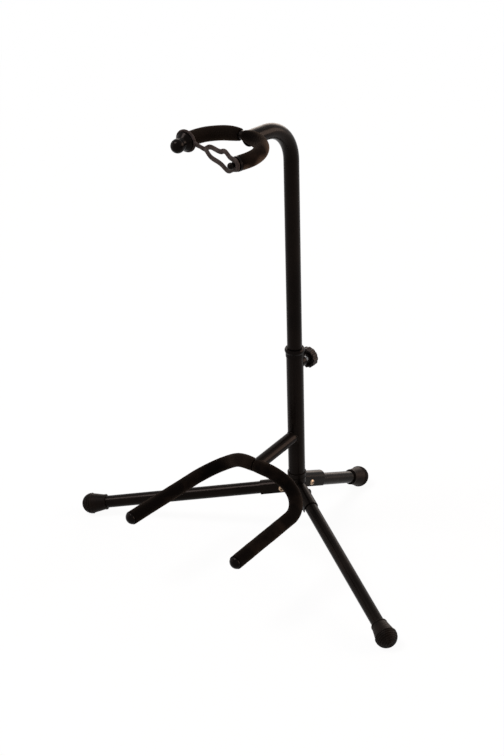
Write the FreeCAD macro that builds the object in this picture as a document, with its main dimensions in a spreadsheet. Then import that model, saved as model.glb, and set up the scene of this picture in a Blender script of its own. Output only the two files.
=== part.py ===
import FreeCAD, Part
import math
import os

import Sketcher
from FreeCAD import Placement, Rotation, Vector

os.makedirs("parts", exist_ok=True)

doc = FreeCAD.newDocument("guitar_stand")

# Driving sizes, in millimetres.
# The origin is on the floor under the column's axis, +Z up, the yokes facing -Y.
driving_sizes = {
    "tube_wall": 1.2,
    "weld_gap": 0.05,
    "running_clearance": 0.06,
    "soft_clearance": 0.3,
    # column
    "lower_tube_od": 25.4,
    "lower_tube_foot": 80,
    "lower_tube_top": 306,
    "slide_clearance": 0.4,
    "upper_tube_foot": 176,
    "goose_height": 664.7,
    "goose_rise": 5.4,
    "goose_radius": 58,
    "goose_bite": 0.5,
    "plug_flange": 2,
    "plug_depth": 10,
    "guide_shoulder": 8,
    "guide_spigot": 20,
    "guide_bore": 12,
    # bush at the top of the lower tube
    "bush_skirt_wall": 0.9,
    "bush_skirt_height": 4,
    "bush_neck_height": 2.2,
    "bush_lip_height": 7.2,
    "bush_lip_radius": 5.4,
    # hub at the column's foot
    "collar_rise": 6,
    "collar_height": 17,
    "collar_ring_wall": 1.7,
    "collar_lower_wall": 1.3,
    "collar_groove_wall": 0.7,
    "collar_groove_width": 2.2,
    "collar_ring_height": 5.6,
    "collar_edge_radius": 0.5,
    # leg joints
    "leg_od": 19.05,
    "pivot_gap": 0.175,
    "pivot_drop": 0.975,
    "front_foot_radius": 327,
    "rear_foot_radius": 156,
    "bracket_wall": 1.3,
    "bracket_clearance": 0.35,
    "bracket_gap": 0.6,
    "bracket_reach": 34,
    "bracket_skirt": 6.5,
    "rear_roof_rise": 3.8,
    "stop_pad_length": 12,
    "stop_pad_inset": 2,
    "rivet_diameter": 5,
    "rivet_head_diameter": 9.4,
    "rivet_head_height": 2.2,
    "rivet_hole_diameter": 3.2,
    "rivet_hole_depth": 3,
    # rubber feet
    "foot_ball_diameter": 32.8,
    "foot_mouth_wall": 2,
    "foot_collar_length": 24,
    "foot_lip_height": 2.2,
    "foot_lip_width": 0.8,
    "foot_ridges": 4,
    "foot_ridge_pitch": 4.6,
    "foot_ridge_width": 2.8,
    "foot_ridge_depth": 0.55,
    "foot_flat_depth": 0.4,
    "foot_socket_depth": 19,
    # body yoke
    "stub_od": 19.05,
    "stub_height": 168,
    "yoke_tube_od": 12.7,
    "foam_od": 20.8,
    "yoke_middle_reach": 94.5,
    "yoke_middle_height": 158.4,
    "yoke_middle_half": 30,
    "yoke_middle_bend": 50,
    "yoke_shoulder": 58.6,
    "yoke_corner_reach": 78,
    "yoke_corner_height": 122.5,
    "yoke_corner_bend": 45,
    "yoke_splay": 8.4,
    "yoke_end_reach": 260,
    "yoke_end_height": 116,
    "yoke_left_extra": 5,
    "yoke_foam_gap": 1.6,
    "yoke_foam_offset": 1.5,
    "plug_cap_od": 18,
    "plug_cap_rim": 1.6,
    "plug_cap_dome": 5,
    "cap_spigot": 12,
    # neck yoke
    "neck_reach": 97.2,
    "neck_lift": 11.3,
    "neck_middle_half": 4,
    "neck_bend": 52,
    "neck_left_trim": 10.5,
    "neck_right_run": 11,
    "neck_foam_gap": 6.5,
    "neck_foam_offset": 4.75,
    "ball_spigot": 5,
    "anchor_flange_diameter": 26.4,
    "anchor_flange_width": 2.5,
    "anchor_bell": 6,
    "anchor_neck_diameter": 17,
    "anchor_ball_reach": 17.3,
    "anchor_ball_diameter": 19.8,
    "hook_flange_width": 3.4,
    "hook_neck_diameter": 6,
    "hook_ball_diameter": 9.4,
    # strap
    "strap_ring_wall": 7.9,
    "strap_ring_thickness": 2.6,
    "strap_ring_clearance": 1,
    "strap_ring_lap": 0.4,
    "strap_seat_room": 0.8,
    "strap_sag": 2,
    "strap_thickness": 4,
    "strap_width": 5.6,
    "strap_tail": 36,
    "strap_slot_half": 8.5,
    "strap_end_room": 1.4,
    # clamp behind the column
    "clamp_drop": 20,
    "nut_wall": 4,
    "nut_length": 6,
    "stud_diameter": 8,
    "stud_show": 7.8,
    "stud_in_knob": 7,
    "pad_thickness": 2,
    "knob_diameter": 31,
    "knob_depth": 10,
    "knob_lobe_radius": 3.2,
    "knob_lobe_rise": 1.3,
    "knob_lobes": 12,
    "knob_wall": 2.2,
    "knob_floor": 2.4,
    "knob_boss_wall": 2.6,
    "knob_edge_radius": 1.4,
}

# Driving angles, in degrees.
driving_angles = {
    "leg_angle": 60.6,
    "foot_shoulder_angle": 35,
    "neck_turn": 104,
    "neck_tilt": 1.9,
}

# Sizes that follow from the driving ones.
derived_sizes = {
    "lower_bore": "lower_tube_od / 2 - tube_wall",
    "upper_tube_od": "2 * (lower_bore - slide_clearance)",
    "upper_bore": "upper_tube_od / 2 - tube_wall",
    "leg_bore": "leg_od / 2 - tube_wall",
    "stub_bore": "stub_od / 2 - tube_wall",
    "yoke_bore": "yoke_tube_od / 2 - tube_wall",
    "foam_bore": "yoke_tube_od / 2 + soft_clearance",
    "column_fit": "lower_tube_od / 2 + weld_gap",
    "collar_foot": "lower_tube_foot + collar_rise",
    "collar_radius": "lower_tube_od / 2 + collar_ring_wall",
    "clamp_height": "lower_tube_top - clamp_drop",
    "pivot_height": "collar_foot - leg_od / 2 - pivot_drop",
    "pivot_radius": "lower_tube_od / 2 + leg_od / 2 + pivot_gap",
    "bracket_inner": "leg_od / 2 + bracket_clearance",
    "bracket_outer": "leg_od / 2 + bracket_clearance + bracket_wall",
    "bracket_half_gap": "min(leg_angle; 90 deg - leg_angle / 2)",
    "bracket_cope": "max(column_fit; (bracket_outer + bracket_gap / 2) / sin(bracket_half_gap))",
    "foot_radius": "foot_ball_diameter / 2",
    "foot_mouth": "leg_od / 2 + foot_mouth_wall",
    "yoke_corner_half": "yoke_middle_half + yoke_shoulder",
    "yoke_end_half": "yoke_corner_half + yoke_splay",
    "cap_plug": "yoke_bore - weld_gap",
    "ball_plug": "yoke_bore - soft_clearance",
    "neck_height": "goose_height + neck_lift",
    "goose_reach": "neck_reach - yoke_tube_od / 2 + goose_bite",
    "neck_ring_room": "strap_ring_thickness + 2 * strap_ring_clearance",
    "strap_hook_seat": "hook_flange_width + strap_seat_room + strap_thickness / 2",
    "hook_ball_start": "sqrt((hook_ball_diameter / 2) ^ 2 - (hook_neck_diameter / 2) ^ 2)",
    "hook_ball_reach": "hook_flange_width + strap_thickness + 2 * strap_seat_room + hook_ball_start",
    "stud_hole": "stud_diameter / 2 + running_clearance",
    "pad_face": "upper_tube_od / 2 + soft_clearance",
    "nut_reach": "lower_tube_od / 2 + nut_length",
    "knob_start": "nut_reach + stud_show",
    "knob_core": "knob_diameter / 2 - knob_lobe_rise",
}

sheet = doc.addObject("Spreadsheet::Sheet", "sizes")
entries = [(alias, str(number)) for alias, number in driving_sizes.items()]
entries += [(alias, f"={number} deg") for alias, number in driving_angles.items()]
entries += [(alias, "=" + formula) for alias, formula in derived_sizes.items()]
for row, (alias, entry) in enumerate(entries, start=1):
    sheet.set(f"A{row}", alias)
    sheet.set(f"B{row}", entry)
    sheet.setAlias(f"B{row}", alias)
doc.recompute()

sub_parts = []
same_point = 1e-6


def size(formula):
    """Value of a formula on the sheet's aliases, each written as sizes.alias."""
    number = sheet.evalExpression(formula)
    return float(getattr(number, "Value", number))


def keep(item, label):
    item.Label = label
    sub_parts.append(item)
    return item


def origin_plane(body, role):
    return next(f for f in body.Origin.OriginFeatures if f.Role == role)


def pin_level(sketch, edge, end, kind, axis, formula):
    """Ties one coordinate of an edge's end to a formula."""
    if formula == "0":
        sketch.addConstraint(Sketcher.Constraint("PointOnObject", edge, end, axis))
        return
    number = sketch.addConstraint(Sketcher.Constraint(kind, -1, 1, edge, end, size(formula)))
    sketch.setExpression(f"Constraints[{number}]", formula)


def pin_point(sketch, edge, end, across, up):
    """Ties one end of an edge to the formulas of its two coordinates."""
    pin_level(sketch, edge, end, "DistanceX", -2, across)
    pin_level(sketch, edge, end, "DistanceY", -1, up)


def closed_outline(sketch, corners):
    """Closed outline through corners (across, up) or (across, up, bulge).

    A bulge is the radius of the arc that arrives at that corner: positive turns left.
    """
    places = [Vector(size(across), size(up), 0) for across, up, *bulge in corners]
    count = len(corners)
    for i in range(count):
        start, stop = places[i], places[(i + 1) % count]
        _, _, *bulge = corners[(i + 1) % count]
        if not bulge:
            sketch.addGeometry(Part.LineSegment(start, stop), False)
            continue
        radius = size(bulge[0])
        chord = stop - start
        side = Vector(-chord.y, chord.x, 0).normalize()
        sag = math.sqrt(max(radius ** 2 - chord.Length ** 2 / 4, 0))
        centre = (start + stop) * 0.5 + side * math.copysign(sag, radius)
        middle = centre - side * math.copysign(abs(radius), radius)
        sketch.addGeometry(Part.Arc(start, middle, stop), False)
    for i in range(count):
        after = (i + 1) % count
        _, stop_end = sketch_ends(sketch, i, places[i])
        after_start, _ = sketch_ends(sketch, after, places[after])
        sketch.addConstraint(Sketcher.Constraint("Coincident", i, stop_end, after, after_start))
        _, _, *bulge = corners[after]
        if bulge:
            size_arc(sketch, i, corners[i], bulge[0], places[after] - places[i])
    for i, (across, up, *_) in enumerate(corners):
        start_end, _ = sketch_ends(sketch, i, places[i])
        pin_point(sketch, i, start_end, across, up)


def sketch_ends(sketch, edge, start):
    """Which end numbers of an edge are its start and its stop: an arc may be stored turned round."""
    first = sketch.getPoint(edge, 1)
    return (1, 2) if first.distanceToPoint(start) < same_point else (2, 1)


def size_arc(sketch, edge, start, bulge, chord):
    """Ties an arc's radius to its formula, or a half circle's centre to the level of its ends."""
    radius = abs(size(bulge))
    if chord.Length < 2 * radius - same_point:
        number = sketch.addConstraint(Sketcher.Constraint("Radius", edge, radius))
        sketch.setExpression(f"Constraints[{number}]", f"abs({bulge})")
    elif abs(chord.x) > abs(chord.y):
        pin_level(sketch, edge, 3, "DistanceY", -1, start[1])
    else:
        pin_level(sketch, edge, 3, "DistanceX", -2, start[0])


def new_sketch(body, name, role):
    sketch = body.newObject("Sketcher::SketchObject", name)
    sketch.AttachmentSupport = [(origin_plane(body, role), "")]
    sketch.MapMode = "FlatFace"
    return sketch


def turned(name, corners, place=None):
    """A body turned about its own Z axis from a half outline of (radius, height) corners."""
    body = doc.addObject("PartDesign::Body", name)
    sketch = new_sketch(body, name + "_profile", "XZ_Plane")
    closed_outline(sketch, corners)
    turning = body.newObject("PartDesign::Revolution", name + "_turning")
    turning.Profile = sketch
    turning.ReferenceAxis = (sketch, ["V_Axis"])
    turning.Angle = 360
    if place:
        body.Placement = place
    return body


def cylinder(name, radius, height, place=None):
    item = doc.addObject("Part::Cylinder", name)
    item.setExpression("Radius", radius)
    item.setExpression("Height", height)
    if place:
        item.Placement = place
    return item


def boolean(kind, name, base, tool):
    item = doc.addObject(kind, name)
    item.Base = base
    item.Tool = tool
    return item


def cut(name, base, *tools):
    for number, tool in enumerate(tools):
        step = name if number == len(tools) - 1 else f"{name}_cut_{number}"
        base = boolean("Part::Cut", step, base, tool)
    return base


def along(point, direction):
    """Placement whose Z axis points along a direction."""
    return Placement(point, Rotation(Vector(0, 0, 1), direction))


def lift(formula):
    return Placement(Vector(0, 0, size(formula)), Rotation())


def bent_path(name, corners, radii):
    """Straight runs through corners, joined by tangent arcs of the given radii."""
    edges = []
    start = corners[0]
    for before, corner, after, radius in zip(corners, corners[1:], corners[2:], radii):
        back = (before - corner).normalize()
        ahead = (after - corner).normalize()
        half = back.getAngle(ahead) / 2
        setback = radius / math.tan(half)
        middle_way = (back + ahead).normalize()
        centre = corner + middle_way * (radius / math.sin(half))
        arc_start = corner + back * setback
        arc_stop = corner + ahead * setback
        edges.append(Part.LineSegment(start, arc_start).toShape())
        edges.append(Part.Arc(arc_start, centre - middle_way * radius, arc_stop).toShape())
        start = arc_stop
    edges.append(Part.LineSegment(start, corners[-1]).toShape())
    path = doc.addObject("Part::Feature", name)
    path.Shape = Part.Wire(edges)
    return path


def swept(name, path, radius):
    """Round bar of the given radius along a path."""
    first = path.Shape.Edges[0]
    circle = doc.addObject("Part::Circle", name + "_section")
    circle.setExpression("Radius", radius)
    circle.Placement = along(first.Vertexes[0].Point, first.tangentAt(first.FirstParameter))
    bar = doc.addObject("Part::Sweep", name)
    bar.Sections = [circle]
    bar.Spine = (path, [f"Edge{i + 1}" for i in range(len(path.Shape.Edges))])
    bar.Solid = True
    bar.Frenet = False
    return bar


def swept_tube(name, path, outer_radius, inner_radius):
    outside = swept(name + "_outside", path, outer_radius)
    inside = swept(name + "_inside", path, inner_radius)
    return cut(name, outside, inside)


# Lower tube of the column, with the clamp's hole in its rear wall.
tube_outside = cylinder("lower_tube_outside", "sizes.lower_tube_od / 2",
                        "sizes.lower_tube_top - sizes.lower_tube_foot", lift("sizes.lower_tube_foot"))
tube_inside = cylinder("lower_tube_inside", "sizes.lower_bore",
                       "sizes.lower_tube_top - sizes.lower_tube_foot", lift("sizes.lower_tube_foot"))
rearward = Vector(0, 1, 0)
clamp_axis = along(Vector(0, 0, size("sizes.clamp_height")), rearward)
stud_hole = cylinder("stud_hole_tool", "sizes.stud_hole", "sizes.nut_reach * 2", clamp_axis)
keep(cut("lower_tube_solid", tube_outside, tube_inside, stud_hole), "lower_tube")

# Plug that closes the column's foot.
keep(turned("hub_plug_body", [
    ("0", "0 - sizes.plug_flange"),
    ("sizes.lower_tube_od / 2", "0 - sizes.plug_flange"),
    ("sizes.lower_tube_od / 2", "0"),
    ("sizes.lower_bore - sizes.weld_gap", "0"),
    ("sizes.lower_bore - sizes.weld_gap", "sizes.plug_depth"),
    ("0", "sizes.plug_depth"),
], lift("sizes.lower_tube_foot")), "hub_plug")

# Ringed collar welded round the column's foot.
ring_foot = "(sizes.collar_height - sizes.collar_ring_height)"
groove_foot = f"({ring_foot} - sizes.collar_groove_width)"
edge = "sizes.collar_edge_radius"
collar_lower = "(sizes.lower_tube_od / 2 + sizes.collar_lower_wall)"
collar_groove = "(sizes.lower_tube_od / 2 + sizes.collar_groove_wall)"
keep(turned("hub_collar_body", [
    ("sizes.column_fit", "0"),
    (collar_lower, "0"),
    (collar_lower, groove_foot),
    (collar_groove, groove_foot),
    (collar_groove, ring_foot),
    ("sizes.collar_radius", ring_foot),
    ("sizes.collar_radius", f"sizes.collar_height - {edge}"),
    (f"sizes.collar_radius - {edge}", "sizes.collar_height", edge),
    ("sizes.column_fit", "sizes.collar_height"),
], lift("sizes.collar_foot")), "hub_collar")

# Plastic bush over the lower tube's top, where the upper tube slides, with a rolled lip.
bush_bore = "sizes.upper_tube_od / 2 + sizes.running_clearance"
bush_skirt = "(sizes.lower_tube_od / 2 + sizes.bush_skirt_wall)"
bush_top = "(sizes.bush_neck_height + sizes.bush_lip_height)"
keep(turned("collar_bush_body", [
    ("sizes.column_fit", "0"),
    ("sizes.column_fit", "0 - sizes.bush_skirt_height"),
    (bush_skirt, "0 - sizes.bush_skirt_height"),
    (bush_skirt, "sizes.bush_neck_height"),
    (bush_skirt, bush_top, "sizes.bush_lip_radius"),
    (bush_bore, bush_top),
    (bush_bore, "0"),
], lift("sizes.lower_tube_top")), "collar_bush")

# Upper tube: straight up, then bent forward into a gooseneck that rises a little to the neck yoke's back.
neck_point = Vector(0, -size("sizes.neck_reach"), size("sizes.neck_height"))
goose_corner = Vector(0, 0, size("sizes.goose_height"))
goose_end = Vector(0, -size("sizes.goose_reach"), size("sizes.goose_height + sizes.goose_rise"))
goose_start = Vector(0, 0, size("sizes.upper_tube_foot"))
goose_path = bent_path("upper_tube_path", [goose_start, goose_corner, goose_end], [size("sizes.goose_radius")])
goose_tube = swept_tube("upper_tube_bent", goose_path, "sizes.upper_tube_od / 2", "sizes.upper_bore")
neck_cope = cylinder("upper_tube_cope", "sizes.yoke_tube_od / 2 + sizes.weld_gap", "sizes.upper_tube_od * 2",
                     along(neck_point - Vector(size("sizes.upper_tube_od"), 0, 0), Vector(1, 0, 0)))
keep(cut("upper_tube_solid", goose_tube, neck_cope), "upper_tube")

# Guide bush on the upper tube's lower end, running in the lower tube.
guide_spigot = "sizes.upper_bore - sizes.running_clearance"
guide_shoulder = "sizes.lower_bore - sizes.running_clearance"
keep(turned("mast_guide_body", [
    ("sizes.guide_bore / 2", "0 - sizes.guide_shoulder"),
    (guide_shoulder, "0 - sizes.guide_shoulder"),
    (guide_shoulder, "0"),
    (guide_spigot, "0"),
    (guide_spigot, "sizes.guide_spigot"),
    ("sizes.guide_bore / 2", "sizes.guide_spigot"),
], lift("sizes.upper_tube_foot")), "mast_guide")

# Legs: a bracket, a pivot rivet, a tube and a rubber foot on each of three bearings.
ball_height = size("sizes.foot_radius - sizes.foot_flat_depth")
column_keep_out = cylinder("column_keep_out", "sizes.bracket_cope", "sizes.lower_tube_top")
collar_keep_out = cylinder("collar_keep_out", "max(sizes.collar_radius + sizes.weld_gap; sizes.bracket_cope)",
                           "sizes.lower_tube_top", lift("sizes.collar_foot - sizes.weld_gap"))
floor = doc.addObject("Part::Box", "floor")
floor.setExpression("Length", "4 * sizes.front_foot_radius")
floor.setExpression("Width", "4 * sizes.front_foot_radius")
floor.setExpression("Height", "sizes.foot_ball_diameter")
doc.recompute()
floor.Placement.Base = Vector(-floor.Length.Value / 2, -floor.Width.Value / 2, -floor.Height.Value)


def channel_bracket(name, roof_rise, place):
    """Round-topped channel, open below, along its own X axis; its roof arc stands roof_rise above the leg."""
    body = doc.addObject("PartDesign::Body", name)
    sketch = new_sketch(body, name + "_section", "YZ_Plane")
    skirt = "0 - sizes.bracket_skirt"
    closed_outline(sketch, [
        ("0 - sizes.bracket_outer", skirt),
        ("0 - sizes.bracket_inner", skirt),
        ("0 - sizes.bracket_inner", roof_rise),
        ("sizes.bracket_inner", roof_rise, "0 - sizes.bracket_inner"),
        ("sizes.bracket_inner", skirt),
        ("sizes.bracket_outer", skirt),
        ("sizes.bracket_outer", roof_rise),
        ("0 - sizes.bracket_outer", roof_rise, "sizes.bracket_outer"),
    ])
    channel = body.newObject("PartDesign::Pad", name + "_channel")
    channel.Profile = sketch
    channel.SideType = "Two sides"
    channel.setExpression("Length", "sizes.bracket_reach")
    channel.setExpression("Length2", "sizes.pivot_radius")
    hole_sketch = new_sketch(body, name + "_hole_circle", "XZ_Plane")
    hole_radius = "sizes.rivet_diameter / 2 + sizes.weld_gap"
    hole_sketch.addGeometry(Part.Circle(Vector(0, 0, 0), Vector(0, 0, 1), size(hole_radius)), False)
    hole_sketch.addConstraint(Sketcher.Constraint("Coincident", 0, 3, -1, 1))
    number = hole_sketch.addConstraint(Sketcher.Constraint("Radius", 0, size(hole_radius)))
    hole_sketch.setExpression(f"Constraints[{number}]", hole_radius)
    hole = body.newObject("PartDesign::Pocket", name + "_rivet_hole")
    hole.Profile = hole_sketch
    hole.SideType = "Symmetric"
    hole.Type = "ThroughAll"
    body.Placement = place
    return cut(name + "_coped", body, column_keep_out, collar_keep_out)


def stop_pad(name, roof_rise, place):
    """Crescent that fills the space between a raised roof and the leg below it."""
    half = "(sizes.bracket_inner * 0.8)"
    over_leg = "(sizes.leg_od / 2 + sizes.soft_clearance)"
    under_roof = "(sizes.bracket_inner - sizes.weld_gap)"
    low = f"sqrt({over_leg} ^ 2 - {half} ^ 2)"
    high = f"{roof_rise} + sqrt({under_roof} ^ 2 - {half} ^ 2)"
    body = doc.addObject("PartDesign::Body", name)
    sketch = new_sketch(body, name + "_section", "YZ_Plane")
    closed_outline(sketch, [
        (f"0 - {half}", low, over_leg),
        (f"0 - {half}", high),
        (half, high, f"0 - {under_roof}"),
        (half, low),
    ])
    pad = body.newObject("PartDesign::Pad", name + "_length")
    pad.Profile = sketch
    pad.setExpression("Length", "sizes.stop_pad_length")
    shift = size("sizes.bracket_reach - sizes.stop_pad_length - sizes.stop_pad_inset")
    body.Placement = place * Placement(Vector(shift, 0, 0), Rotation())
    return body


def pivot_rivet(name, place):
    """Tubular rivet across a bracket, turned about its own Z axis, a domed head on each end."""
    shank = "sizes.rivet_diameter / 2"
    head = "sizes.rivet_head_diameter / 2"
    hollow = "sizes.rivet_hole_diameter / 2"
    under = "(sizes.bracket_outer + sizes.weld_gap)"
    top = f"({under} + sizes.rivet_head_height)"
    dome = "sizes.rivet_head_height * 1.5"
    return turned(name, [
        ("0", f"{top} - sizes.rivet_hole_depth"),
        (hollow, f"{top} - sizes.rivet_hole_depth"),
        (hollow, top),
        (head, under, f"0 - {dome}"),
        (shank, under),
        (shank, f"0 - {under}"),
        (head, f"0 - {under}"),
        (hollow, f"0 - {top}", f"0 - {dome}"),
        (hollow, f"sizes.rivet_hole_depth - {top}"),
        ("0", f"sizes.rivet_hole_depth - {top}"),
    ], place)


def leg_tube(name, length, place):
    """Tube along its own X axis, its inner end a ball about the pivot, with the rivet's cross hole."""
    outside = "sizes.leg_od / 2"
    tube = turned(name + "_tube", [
        ("sizes.leg_bore", f"0 - sqrt(({outside}) ^ 2 - sizes.leg_bore ^ 2)"),
        (outside, "0", outside),
        (outside, str(length)),
        ("sizes.leg_bore", str(length)),
    ], place * Placement(Vector(), Rotation(Vector(0, 0, 1), Vector(1, 0, 0))))
    aside = Placement(Vector(0, -size("sizes.leg_od"), 0), Rotation(Vector(0, 0, 1), Vector(0, 1, 0)))
    hole = cylinder(name + "_hole", "sizes.rivet_diameter / 2 + sizes.running_clearance", "2 * sizes.leg_od",
                    place * aside)
    return cut(name, tube, hole)


def rubber_foot(name, place):
    """Ball-ended boot turned about the leg, ringed with ridges, cut flat where it meets the floor."""
    bore = "sizes.leg_od / 2 + sizes.weld_gap"
    mouth = "0 - sizes.foot_collar_length"
    lip = "sizes.foot_mouth + sizes.foot_lip_width"
    socket = "sizes.foot_socket_depth - sizes.foot_collar_length + sizes.weld_gap"
    outline = [
        ("0", socket),
        (bore, socket),
        (bore, mouth),
        (lip, mouth),
        (lip, f"{mouth} + sizes.foot_lip_height"),
        ("sizes.foot_mouth", f"{mouth} + sizes.foot_lip_height"),
    ]
    shoulder = "sizes.foot_radius * {}(sizes.foot_shoulder_angle)"
    outline.append((shoulder.format("cos"), "0 - " + shoulder.format("sin")))
    per_mm = "(1 rad / sizes.foot_radius)"
    for ridge in range(int(size("sizes.foot_ridges"))):
        start = f"{ridge} * sizes.foot_ridge_pitch * {per_mm}"
        stop = f"({ridge} * sizes.foot_ridge_pitch + sizes.foot_ridge_width) * {per_mm}"
        floor_radius = "(sizes.foot_radius - sizes.foot_ridge_depth)"
        for radius, turn in ((floor_radius, start), ("sizes.foot_radius", start),
                             ("sizes.foot_radius", stop), (floor_radius, stop)):
            outline.append((f"{radius} * cos({turn})", f"{radius} * sin({turn})"))
    outline.append(("0", "sizes.foot_radius - sizes.foot_ridge_depth"))
    boot = turned(name + "_boot", outline, place)
    return cut(name, boot, floor)


bearings = {
    "left": (180 + size("sizes.leg_angle"), "sizes.front_foot_radius", "0"),
    "right": (180 - size("sizes.leg_angle"), "sizes.front_foot_radius", "0"),
    "rear": (0, "sizes.rear_foot_radius", "sizes.rear_roof_rise"),
}
for side, (bearing, foot_reach, roof_rise) in bearings.items():
    outward = Vector(math.sin(math.radians(bearing)), math.cos(math.radians(bearing)), 0)
    hinge = outward * size("sizes.pivot_radius") + Vector(0, 0, size("sizes.pivot_height"))
    ball = outward * size(foot_reach) + Vector(0, 0, ball_height)
    leg_way = (ball - hinge).normalize()
    leg_length = (ball - hinge).Length
    sideways = Vector(0, 0, 1).cross(leg_way).normalize()
    leg_frame = Placement(hinge, Rotation(leg_way, sideways, leg_way.cross(sideways), "XYZ"))
    keep(channel_bracket(f"leg_bracket_{side}_body", roof_rise, leg_frame), f"leg_bracket_{side}")
    keep(pivot_rivet(f"leg_rivet_{side}_body", along(hinge, sideways)), f"leg_rivet_{side}")
    tube_length = leg_length - size("sizes.foot_collar_length - sizes.foot_socket_depth")
    keep(leg_tube(f"leg_tube_{side}_solid", tube_length, leg_frame), f"leg_tube_{side}")
    keep(rubber_foot(f"leg_foot_{side}_solid", along(ball, leg_way)), f"leg_foot_{side}")
    if roof_rise != "0":
        keep(stop_pad("rear_stop_pad_body", roof_rise, leg_frame), "rear_stop_pad")

# Body yoke: one bent tube on a stub, two foam sleeves and two end plugs.
yoke_middle = Vector(0, -size("sizes.yoke_middle_reach"), size("sizes.yoke_middle_height"))
stub_root = Vector(0, 0, size("sizes.stub_height"))
stub_place = along(stub_root, yoke_middle - stub_root)
stub_length = (yoke_middle - stub_root).Length
stub_outside = cylinder("yoke_stub_outside", "sizes.stub_od / 2", str(stub_length), stub_place)
stub_inside = cylinder("yoke_stub_inside", "sizes.stub_bore", str(stub_length), stub_place)
stub_root_cope = cylinder("yoke_stub_root_cope", "sizes.column_fit", "sizes.lower_tube_top")
stub_end_cope = cylinder("yoke_stub_end_cope", "sizes.yoke_tube_od / 2 + sizes.weld_gap", "2 * sizes.stub_od",
                         along(yoke_middle - Vector(size("sizes.stub_od"), 0, 0), Vector(1, 0, 0)))
keep(cut("yoke_stub_solid", stub_outside, stub_inside, stub_root_cope, stub_end_cope), "yoke_stub")


def yoke_corners(hand):
    """The yoke's bend corners from its middle out to one end; hand is -1 on the left and 1 on the right."""
    places = ("middle", "corner", "end")
    middle, corner, end = [Vector(hand * size(f"sizes.yoke_{place}_half"), -size(f"sizes.yoke_{place}_reach"),
                                  size(f"sizes.yoke_{place}_height")) for place in places]
    if hand < 0:
        end += (end - corner).normalize() * size("sizes.yoke_left_extra")
    return [middle, corner, end]


middle_bend = size("sizes.yoke_middle_bend")
corner_bend = size("sizes.yoke_corner_bend")
yoke_path = bent_path("body_yoke_path", yoke_corners(-1)[::-1] + yoke_corners(1),
                      [corner_bend, middle_bend, middle_bend, corner_bend])
keep(swept_tube("body_yoke_bent", yoke_path, "sizes.yoke_tube_od / 2", "sizes.yoke_bore"), "body_yoke_tube")
stub_notch = cylinder("body_yoke_foam_notch", "sizes.stub_od / 2 + sizes.soft_clearance", str(stub_length),
                      stub_place)
for side, hand in (("left", -1), ("right", 1)):
    corners = yoke_corners(hand)
    arm_way = (corners[2] - corners[1]).normalize()
    foam_edge = size(f"{hand} * sizes.yoke_foam_gap / 2 - sizes.yoke_foam_offset")
    foam_start = Vector(foam_edge, yoke_middle.y, yoke_middle.z)
    foam_stop = corners[2] - arm_way * size("sizes.soft_clearance")
    foam_path = bent_path(f"body_yoke_foam_{side}_path", [foam_start, corners[0], corners[1], foam_stop],
                          [middle_bend, corner_bend])
    sleeve = swept_tube(f"body_yoke_foam_{side}_sleeve", foam_path, "sizes.foam_od / 2", "sizes.foam_bore")
    keep(cut(f"body_yoke_foam_{side}_notched", sleeve, stub_notch), f"body_yoke_foam_{side}")
    keep(turned(f"body_yoke_cap_{side}_body", [
        ("0", "0 - sizes.cap_spigot"),
        ("sizes.cap_plug", "0 - sizes.cap_spigot"),
        ("sizes.cap_plug", "0"),
        ("sizes.plug_cap_od / 2", "0"),
        ("sizes.plug_cap_od / 2", "sizes.plug_cap_rim"),
        ("0", "sizes.plug_cap_rim + sizes.plug_cap_dome",
         "((sizes.plug_cap_od / 2) ^ 2 + sizes.plug_cap_dome ^ 2) / (2 * sizes.plug_cap_dome)"),
    ], along(corners[2], arm_way)), f"body_yoke_cap_{side}")

# Neck yoke: a horseshoe that tips down a little, measured along its axis from the middle, right positive.
neck_half = size("sizes.neck_middle_half")
neck_bend = size("sizes.neck_bend")
neck_turn = math.radians(size("sizes.neck_turn"))
neck_arm_start = neck_half + neck_bend * neck_turn
neck_tilt = math.radians(size("sizes.neck_tilt"))
left_foam_end = -neck_arm_start + size("sizes.neck_left_trim")
left_end = left_foam_end - size("sizes.neck_ring_room")
right_end = neck_arm_start + size("sizes.neck_right_run")


def tipped(across, forward):
    """A step to the right and forward in the horseshoe's tilted plane."""
    return Vector(across, -forward * math.cos(neck_tilt), -forward * math.sin(neck_tilt))


def neck_at(distance):
    """Point on the horseshoe's axis and the way it runs outward there."""
    hand = 1 if distance >= 0 else -1
    run = abs(distance)
    if run <= neck_half:
        return neck_point + Vector(distance, 0, 0), Vector(hand, 0, 0)
    turn = min((run - neck_half) / neck_bend, neck_turn)
    ahead = tipped(hand * math.cos(turn), math.sin(turn))
    bend = tipped(hand * (neck_half + neck_bend * math.sin(turn)), neck_bend * (1 - math.cos(turn)))
    return neck_point + bend + ahead * max(run - neck_arm_start, 0), ahead


def neck_path(name, start, stop):
    """The part of the horseshoe's axis between two distances."""
    bounds = [-neck_arm_start, -neck_half, neck_half, neck_arm_start]
    marks = [start] + [b for b in bounds if start < b < stop] + [stop]
    edges = []
    for low, high in zip(marks, marks[1:]):
        middle = (low + high) / 2
        if neck_half < abs(middle) < neck_arm_start:
            edges.append(Part.Arc(neck_at(low)[0], neck_at(middle)[0], neck_at(high)[0]).toShape())
        else:
            edges.append(Part.LineSegment(neck_at(low)[0], neck_at(high)[0]).toShape())
    path = doc.addObject("Part::Feature", name)
    path.Shape = Part.Wire(edges)
    return path


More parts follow.
